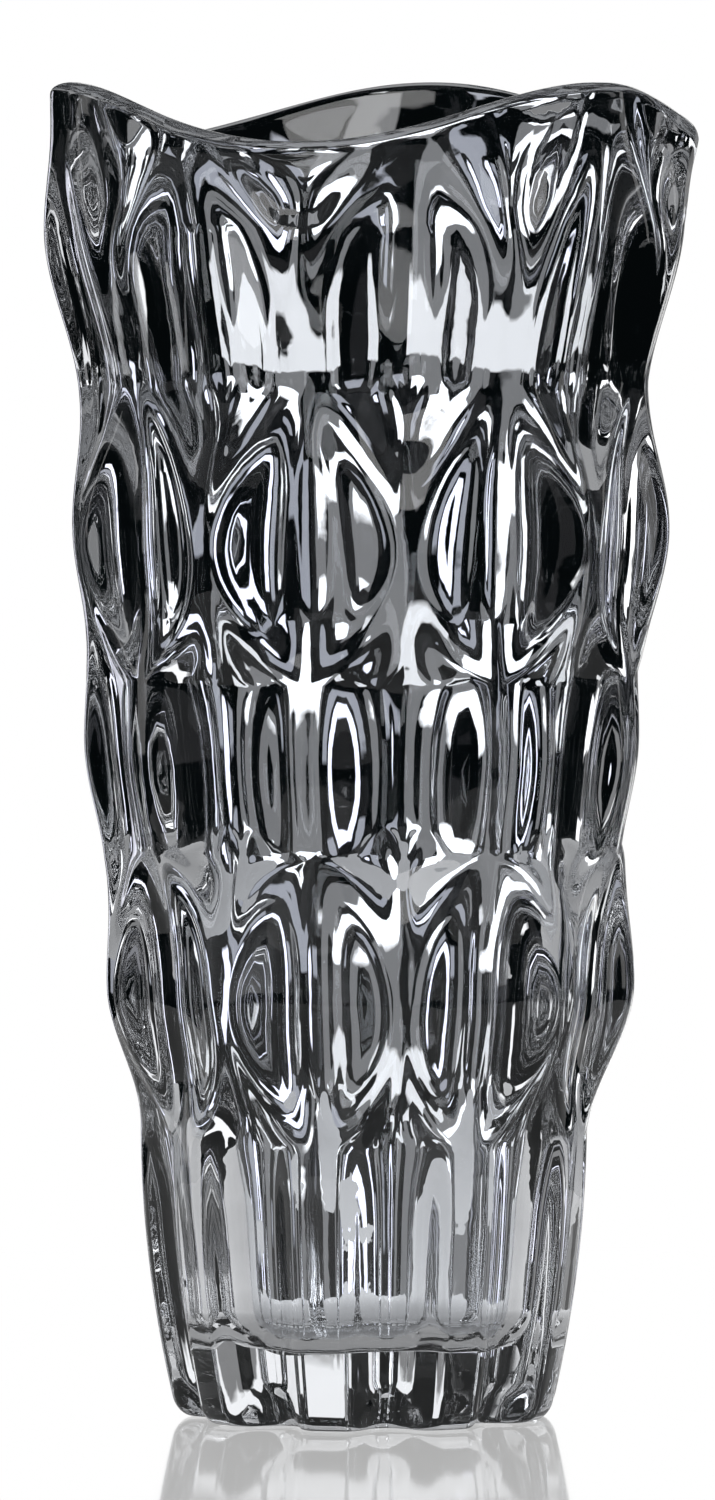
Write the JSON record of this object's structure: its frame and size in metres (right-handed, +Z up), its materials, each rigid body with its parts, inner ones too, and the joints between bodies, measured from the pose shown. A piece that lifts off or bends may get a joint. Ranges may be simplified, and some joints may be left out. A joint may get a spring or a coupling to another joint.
{
  "type": "crystal vase",
  "caption": "Tall heavy clear crystal vase with hollow lens-shaped facets in staggered rows, a solid fluted foot, a smooth open cavity and a wavy lobed mouth.",
  "frame": {"origin": "centre of the flat face under the foot, on the vase's axis, on the surface it stands on", "axes": "+Z up along the vase's axis, -Y towards the front, +X to the right seen from the front"},
  "size_m": [0.1469, 0.147, 0.3],
  "materials": {
    "crystal": "pressed and fire-polished clear lead-free crystal glass, bright mirror-smooth gloss inside and out"
  },
  "bodies": {
    "root": {"foot": "crystal", "fluted_stem": "crystal", "lower_facet_band": "crystal", "middle_facet_band": "crystal", "upper_facet_band": "crystal", "shoulder": "crystal", "wavy_lip": "crystal"}
  },
  "joints": []
}
